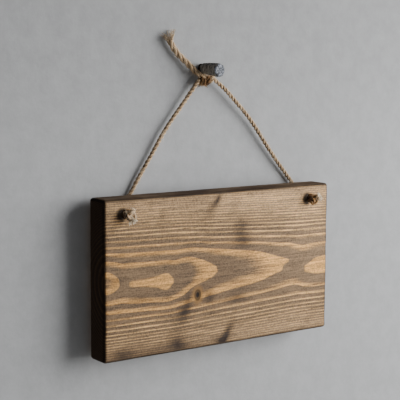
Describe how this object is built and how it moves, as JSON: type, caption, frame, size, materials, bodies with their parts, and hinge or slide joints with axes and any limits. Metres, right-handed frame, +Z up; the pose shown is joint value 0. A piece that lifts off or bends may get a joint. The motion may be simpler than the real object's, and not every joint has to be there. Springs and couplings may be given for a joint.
{
  "type": "hanging wooden plaque",
  "caption": "Plain stained wooden plaque hung from a rough nail by jute cords that pass through the board and end in knots on its front",
  "frame": {"origin": "on the nail's axis, in the plane of the wall that the nail is driven into", "axes": "+Y along the nail's shank into the wall, -Y the way the board's front faces, +Z up, +X to the viewer's right"},
  "size_m": [0.214, 0.064, 0.2425],
  "materials": {
    "stained_wood": "matt stain over planed softwood",
    "jute": "rough twisted natural fibre",
    "dark_iron": "forged, matt, mottled"
  },
  "bodies": {
    "nail": {"nail": "dark_iron"},
    "hanger": {"nail_loop": "jute", "nail_knot": "jute", "cord_tail": "jute", "tail_yarns": "jute"},
    "cords": {"left_leg": "jute", "right_leg": "jute"},
    "plaque": {"board": "stained_wood", "left_back_cord": "jute", "right_back_cord": "jute", "left_stopper_knot": "jute", "right_stopper_knot": "jute"}
  },
  "joints": [
    {"name": "swing", "type": "hinge", "parent": "nail", "child": "hanger", "pos_m": [0, -0.00195, 0], "axis": [0, 1, 0], "range_deg": [-30, 30]},
    {"name": "lean_out", "type": "hinge", "parent": "hanger", "child": "cords", "pos_m": [0.00075, -0.0056, -0.0088], "axis": [-1, 0, 0], "range_deg": [0, 45]},
    {"name": "board_tilt", "type": "hinge", "parent": "cords", "child": "plaque", "pos_m": [0.0045, -0.0045, -0.093], "axis": [-1, 0, 0], "range_deg": [0, 60]}
  ]
}
